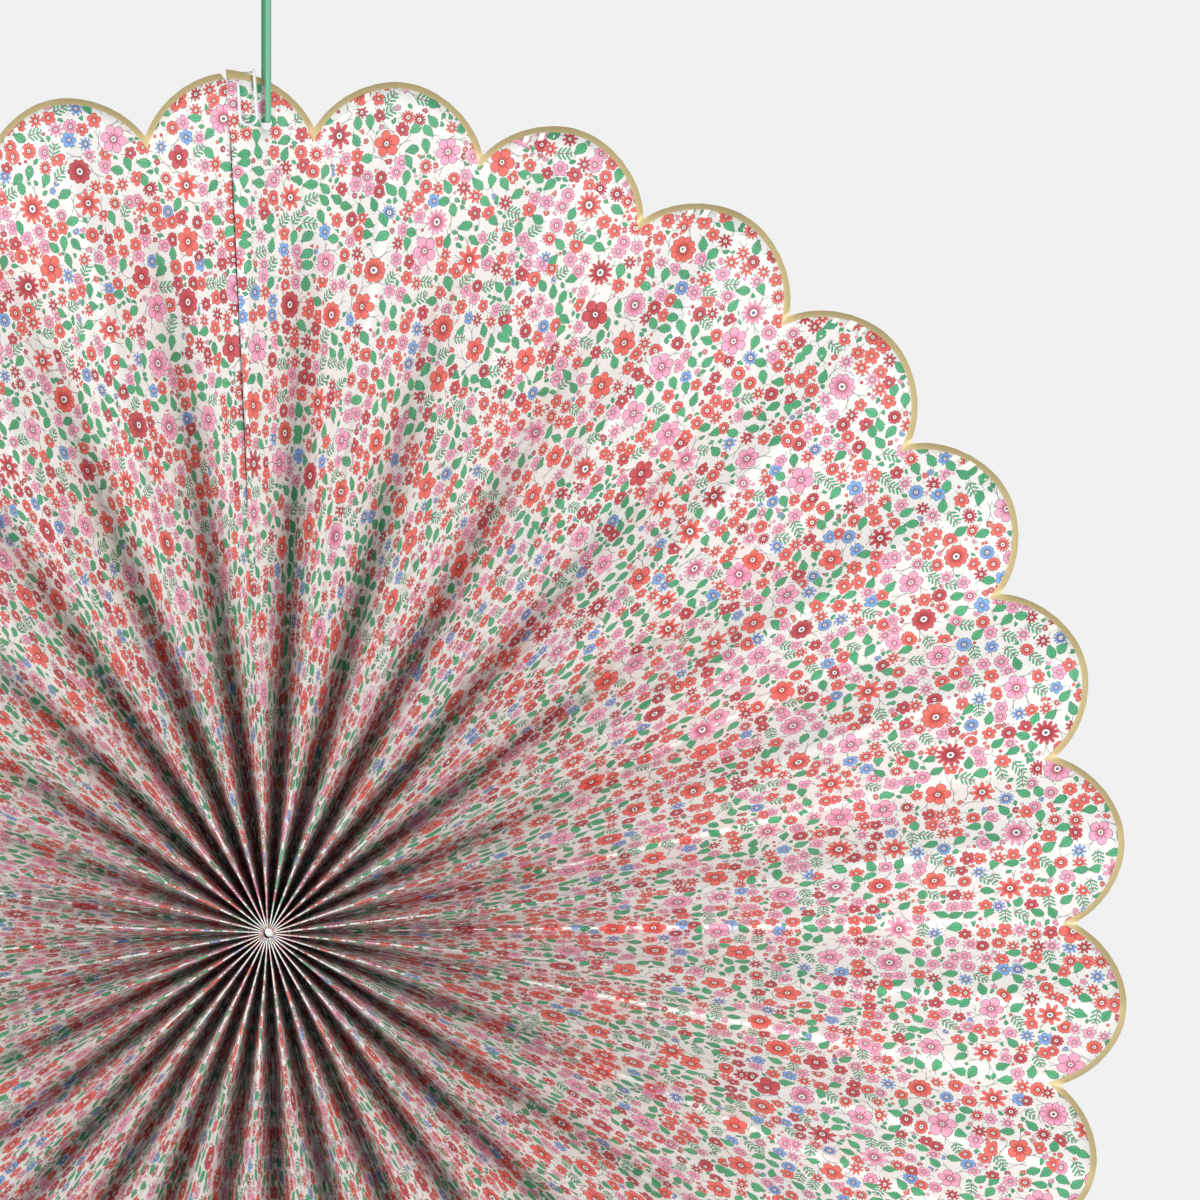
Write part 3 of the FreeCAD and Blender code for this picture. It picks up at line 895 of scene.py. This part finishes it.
def printed_paper():
    """Coated paper with the print, worn along the folds, white at the hub, painted shade on the
    ridges' crests at middle radii, and a gold foil edge.
    """
    material, n, shader = new_material("printed_paper")
    flat = n.add("ShaderNodeUVMap", uv_map="paper").outputs[0]
    parts = n.add("ShaderNodeSeparateXYZ")
    n.feed(parts.inputs[0], flat)
    along, radius = parts.outputs[0], parts.outputs[1]
    pattern = n.add("ShaderNodeGroup", node_tree=print_group())
    n.feed(pattern.inputs["Paper"], flat)
    from_ridge = n.math("PINGPONG", along, PANEL)
    near_hub = n.both(n.smooth(radius, 14.0, 4.0), n.smooth(radius, 1.2, 3.4))
    worn = n.math("SUBTRACT", 1.0, n.smooth(from_ridge, 0.03, 0.1))
    # Painted shade: the crests of the ridges from about 38 to 190 mm are darkened, to take down the
    # light that their rounded bends catch.
    ridge_shade = n.both(n.smooth(radius, 38.0, 55.0), n.smooth(radius, 190.0, 150.0))
    ridge_shade = n.both(ridge_shade, n.smooth(from_ridge, 1.1, 0.3))
    colour = n.mix(ridge_shade, pattern.outputs[0], tint(222, 214, 210), "MULTIPLY")
    colour = n.mix(n.both(worn, near_hub), colour, tint(246, 242, 236))
    up = n.math("MAXIMUM", n.math("SUBTRACT", radius, TIP - SCALLOP), 0.0)
    squared = n.math("ADD", n.both(from_ridge, from_ridge), n.both(up, up))
    from_edge = n.math("SUBTRACT", SCALLOP, n.math("SQRT", squared))
    foil = n.below(from_edge, FOIL_WIDTH)
    n.feed(shader.inputs["Base Color"], n.mix(foil, colour, tint(226, 206, 152)))
    n.feed(shader.inputs["Metallic"], n.math("MULTIPLY", foil, 0.15))
    n.feed(shader.inputs["Roughness"], n.math("MULTIPLY_ADD", foil, -0.1, 0.5))
    shader.inputs["Specular IOR Level"].default_value = 0.4
    grain = n.add("ShaderNodeTexNoise", noise_dimensions="2D")
    grain.inputs["Scale"].default_value = 3.0
    n.feed(grain.inputs["Vector"], flat)
    bump = n.add("ShaderNodeBump")
    bump.inputs["Strength"].default_value = 0.08
    bump.inputs["Distance"].default_value = 0.00005
    n.feed(bump.inputs["Height"], grain.outputs[0])
    n.feed(shader.inputs["Normal"], bump.outputs[0])
    return material


def plain_paper():
    """The unprinted back of the paper and its cut edges."""
    material, n, shader = new_material("plain_paper")
    flat = n.add("ShaderNodeUVMap", uv_map="paper").outputs[0]
    fibre = n.add("ShaderNodeTexNoise", noise_dimensions="2D")
    fibre.inputs["Scale"].default_value = 1.4
    fibre.inputs["Detail"].default_value = 4.0
    n.feed(fibre.inputs["Vector"], flat)
    colour = n.mix(fibre.outputs[0], tint(238, 236, 228), tint(248, 247, 242))
    n.feed(shader.inputs["Base Color"], colour)
    shader.inputs["Roughness"].default_value = 0.7
    return material


def satin_ribbon():
    """Green satin with fine threads along it, darker towards both edges."""
    material, n, shader = new_material("satin_ribbon")
    flat = n.add("ShaderNodeUVMap", uv_map="weave").outputs[0]
    parts = n.add("ShaderNodeSeparateXYZ")
    n.feed(parts.inputs[0], flat)
    threads = n.math("PINGPONG", n.math("MULTIPLY", parts.outputs[0], 9.0), 1.0)
    edge = n.smooth(n.math("ABSOLUTE", parts.outputs[0]), 0.75, 0.95)
    colour = n.mix(threads, tint(78, 166, 128), tint(112, 194, 156))
    # The colour is darker towards both edges of the ribbon.
    colour = n.mix(edge, colour, tint(58, 142, 106))
    n.feed(shader.inputs["Base Color"], colour)
    shader.inputs["Roughness"].default_value = 0.36
    shader.inputs["Sheen Weight"].default_value = 0.3
    shader.inputs["Anisotropic"].default_value = 0.6
    bump = n.add("ShaderNodeBump")
    bump.inputs["Strength"].default_value = 0.25
    bump.inputs["Distance"].default_value = 0.00005
    n.feed(bump.inputs["Height"], threads)
    n.feed(shader.inputs["Normal"], bump.outputs[0])
    return material


def bright_wire():
    """The bright, nearly white wire of the paper clip."""
    material, n, shader = new_material("bright_wire")
    where = n.add("ShaderNodeTexCoord").outputs["Object"]
    drawn = n.add("ShaderNodeTexNoise")
    drawn.inputs["Scale"].default_value = 900.0
    n.feed(drawn.inputs["Vector"], where)
    colour = n.mix(drawn.outputs[0], tint(238, 240, 244), tint(252, 252, 254))
    n.feed(shader.inputs["Base Color"], colour)
    n.feed(shader.inputs["Roughness"], n.math("MULTIPLY_ADD", drawn.outputs[0], 0.15, 0.25))
    shader.inputs["Metallic"].default_value = 0.3
    return material


def cotton_thread():
    """The twisted thread at the hub."""
    material, n, shader = new_material("cotton_thread")
    where = n.add("ShaderNodeTexCoord").outputs["Object"]
    twist = n.add("ShaderNodeTexWave")
    twist.inputs["Scale"].default_value = 1500.0
    n.feed(twist.inputs["Vector"], where)
    colour = n.mix(twist.outputs[0], tint(214, 212, 204), tint(240, 238, 232))
    n.feed(shader.inputs["Base Color"], colour)
    shader.inputs["Roughness"].default_value = 0.85
    return material


fan.data.materials.append(printed_paper())
fan.data.materials.append(plain_paper())
satin = satin_ribbon()
for piece in (front_strand, back_strand, knot):
    piece.data.materials.append(satin)
for node, material in (("paper_clip", bright_wire()), ("hub_thread", cotton_thread())):
    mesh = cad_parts[node].data
    mesh.materials.clear()
    mesh.materials.append(material)

# A pale floor below the fan, a large soft light on each side at the fan's height, and one
# behind the fan, which lights only its back.
FLOOR_LEVEL = -420.0
SIDE_LIGHT_POWER = 26.3
SIDE_LIGHT_REACH = 1.55
BACK_LIGHT_POWER = 24.0
FILL_LIGHT = 0.27


def make_floor():
    bm = bmesh.new()
    bmesh.ops.create_grid(bm, x_segments=8, y_segments=8, size=6.0)
    mesh = bpy.data.meshes.new("floor")
    bm.to_mesh(mesh)
    bm.free()
    floor = link("floor", mesh)
    floor.location = (0, 0, FLOOR_LEVEL * MM)
    material, n, shader = new_material("floor")
    shader.inputs["Base Color"].default_value = tint(236, 236, 237)
    shader.inputs["Roughness"].default_value = 0.9
    floor.data.materials.append(material)


def make_light(name, size, power, location, target):
    data = bpy.data.lights.new(name, "AREA")
    data.shape = "RECTANGLE"
    data.size, data.size_y = size
    data.energy = power
    light = link(name, data)
    light.location = location
    direction = Vector(target) - Vector(location)
    light.rotation_mode = "QUATERNION"
    light.rotation_quaternion = direction.to_track_quat("-Z", "Y")


def make_world():
    world = bpy.data.worlds.new("studio")
    world.use_nodes = True
    bpy.context.scene.world = world
    n = Nodes(world.node_tree)
    world.node_tree.nodes.clear()
    seen = n.add("ShaderNodeLightPath")
    backdrop = n.add("ShaderNodeBackground")
    backdrop.inputs["Color"].default_value = tint(241, 241, 241)
    fill = n.add("ShaderNodeBackground")
    fill.inputs["Color"].default_value = (1.0, 1.0, 1.0, 1.0)
    fill.inputs["Strength"].default_value = FILL_LIGHT
    pick = n.add("ShaderNodeMixShader")
    n.feed(pick.inputs[0], seen.outputs["Is Camera Ray"])
    n.feed(pick.inputs[1], fill.outputs[0])
    n.feed(pick.inputs[2], backdrop.outputs[0])
    output = n.add("ShaderNodeOutputWorld")
    n.feed(output.inputs["Surface"], pick.outputs[0])


make_floor()
for name, side in (("left", -1), ("right", 1)):
    where = (0.1 + SIDE_LIGHT_REACH * side, -SIDE_LIGHT_REACH, 0.1)
    make_light(name, (1.5, 0.8), SIDE_LIGHT_POWER, where, (0.1, 0, 0.1))
make_light("behind", (2.0, 1.2), BACK_LIGHT_POWER, (0.2, 2.0, 0.9), (0, 0, 0))
make_world()
bpy.context.scene.view_settings.view_transform = "Standard"
